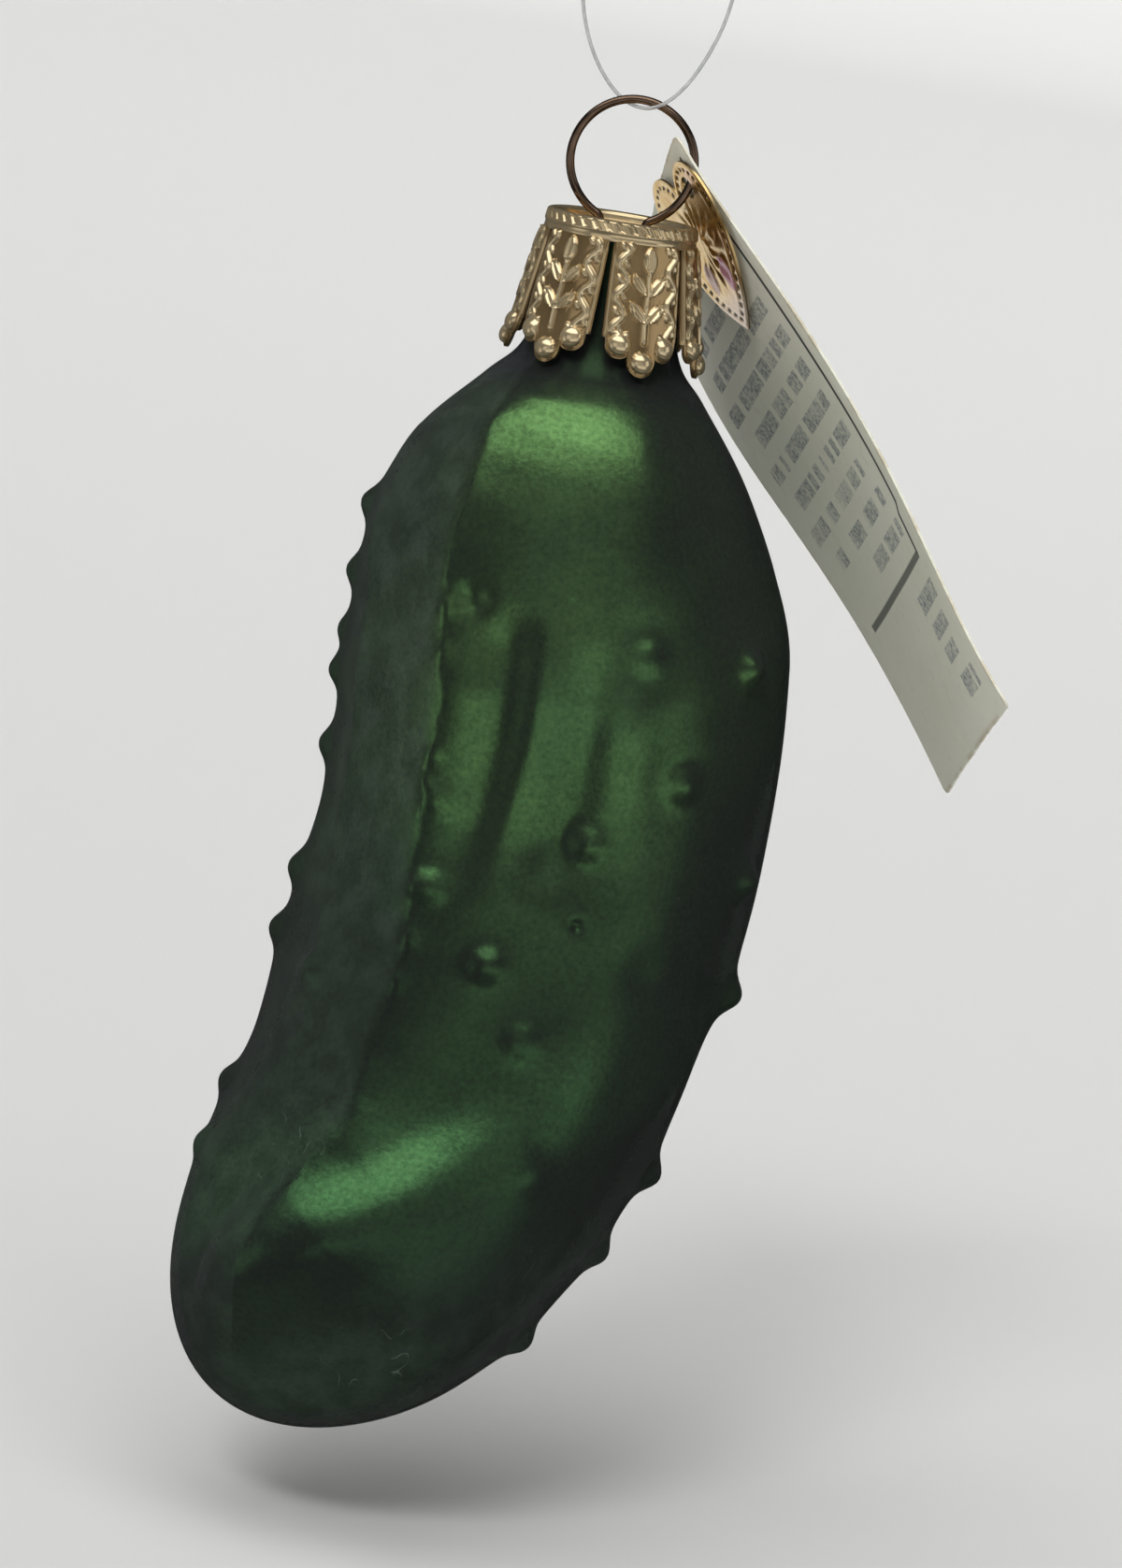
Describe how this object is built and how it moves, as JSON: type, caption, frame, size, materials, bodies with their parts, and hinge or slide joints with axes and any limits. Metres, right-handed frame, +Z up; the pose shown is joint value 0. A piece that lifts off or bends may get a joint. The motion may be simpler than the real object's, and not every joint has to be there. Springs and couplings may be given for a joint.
{
  "type": "hanging glass pickle ornament",
  "caption": "Hollow blown-glass pickle ornament with a stamped crown cap, sprung wire ring, foil and card tags, and a thread loop to hang it by.",
  "frame": {"origin": "inside top of the wire ring, where the thread carries the ornament", "axes": "+Z up along the neck and the line it hangs on, +X to the right seen from the front, +Y to the back; the ring lies in the XZ plane"},
  "size_m": [0.0587, 0.0449, 0.1332],
  "materials": {
    "lacquered_glass": "satin green lacquer over silvered glass",
    "cap_metal": "stamped, champagne gold",
    "wire": "dark bronze",
    "foil": "gold metallised film",
    "card": "cream uncoated card",
    "thread": "clear nylon"
  },
  "bodies": {
    "thread": {"thread_loop": "thread", "thread_knot": "thread"},
    "hanger": {"hanger_wire": "wire"},
    "cap": {"cap": "cap_metal"},
    "glass": {"glass_body": "lacquered_glass"},
    "foil_tag": {"foil_tag": "foil"},
    "paper_tag": {"paper_tag": "card"}
  },
  "joints": [
    {"name": "ring_swing", "type": "hinge", "parent": "thread", "child": "hanger", "pos_m": [0, 0, -0.00464], "axis": [0, 1, 0], "range_deg": [-28, 28]},
    {"name": "cap_tilt", "type": "hinge", "parent": "hanger", "child": "cap", "pos_m": [0, 0, -0.0099], "axis": [1, 0, 0], "range_deg": [-5, 5]},
    {"name": "cap_pull", "type": "slide", "parent": "cap", "child": "glass", "axis": [0, 0, -1], "range_m": [0, 0.0082]},
    {"name": "foil_turn", "type": "hinge", "parent": "hanger", "child": "foil_tag", "pos_m": [0.00481, 0, -0.00592], "axis": [-0.7769, -0.3492, -0.5239], "range_deg": [-30, 30]},
    {"name": "paper_turn", "type": "hinge", "parent": "hanger", "child": "paper_tag", "pos_m": [0.00494, 0, -0.00524], "axis": [-0.7769, -0.3492, -0.5239], "range_deg": [-30, 30]}
  ]
}
